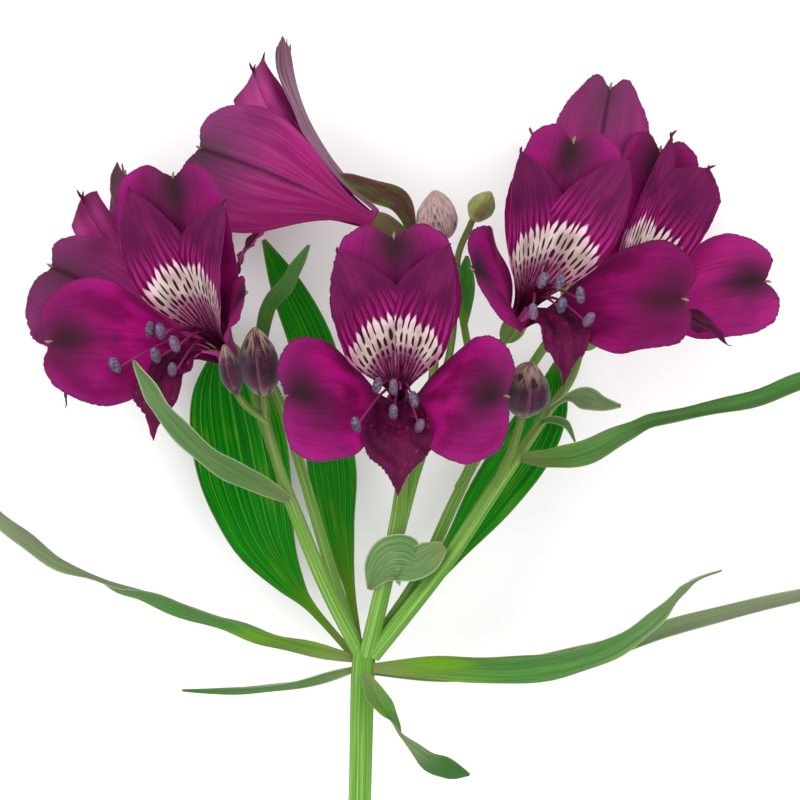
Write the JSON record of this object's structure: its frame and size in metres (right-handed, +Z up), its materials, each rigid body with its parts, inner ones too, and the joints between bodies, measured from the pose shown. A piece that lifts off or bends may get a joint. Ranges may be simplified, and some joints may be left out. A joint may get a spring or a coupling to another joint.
{
  "type": "alstroemeria stem",
  "caption": "Cut alstroemeria (Peruvian lily) stem lying down, with open magenta blooms with striped inner petals, purple buds, small bracts and a whorl of long leaves, for vases and bouquets.",
  "frame": {"origin": "The middle of the bounding box's underside, on the surface that the stem lies on.", "axes": "+Y runs from the cut end to the blooms, +X to the right of the head seen from above with the blooms away from the viewer, and +Z up, the way the front blooms look."},
  "size_m": [0.2094, 0.2706, 0.0938],
  "materials": {
    "stem": "matt green stem, finely grooved lengthwise",
    "leaf": "satin green leaf with pale parallel veins",
    "bract": "matt grey-green bract with a faint down",
    "bud": "matt purple bud with pale seams",
    "bud_green": "matt green young bud",
    "outer_tepal": "velvety magenta-purple with a dark blotch at the tip",
    "inner_tepal": "satin purple with a pale fan and dark dashes",
    "stamen": "matt slate anthers on pinkish filaments"
  },
  "bodies": {
    "root": {"stem": "stem", "leaf_far_left": "leaf", "leaf_short_left": "leaf", "leaf_broad_left": "leaf", "leaf_middle": "leaf", "leaf_right_back": "leaf", "leaf_right_front": "leaf", "leaf_far_right": "leaf", "leaf_upper_right": "leaf", "leaf_hanging": "bract", "bract_left": "bract", "bract_centre": "bract", "bract_bud_left": "bract", "bract_right": "bract", "bract_curl": "bract", "bract_top_left": "bract", "bract_bud_right": "bract", "bud_left_large": "bud", "bud_left_small": "bud", "bud_right": "bud", "bud_top": "bud", "bud_top_green": "bud_green", "bloom_left_outer": "outer_tepal", "bloom_left_inner": "inner_tepal", "bloom_left_stamens": "stamen", "bloom_left_back_outer": "outer_tepal", "bloom_left_back_inner": "inner_tepal", "bloom_left_back_stamens": "stamen", "bloom_top_left_outer": "outer_tepal", "bloom_top_left_inner": "inner_tepal", "bloom_top_left_stamens": "stamen", "bloom_centre_outer": "outer_tepal", "bloom_centre_inner": "inner_tepal", "bloom_centre_stamens": "stamen", "bloom_right_outer": "outer_tepal", "bloom_right_inner": "inner_tepal", "bloom_right_stamens": "stamen", "bloom_right_back_outer": "outer_tepal", "bloom_right_back_inner": "inner_tepal", "bloom_right_back_stamens": "stamen", "bloom_top_right_outer": "outer_tepal", "bloom_top_right_inner": "inner_tepal", "bloom_top_right_stamens": "stamen"}
  },
  "joints": []
}
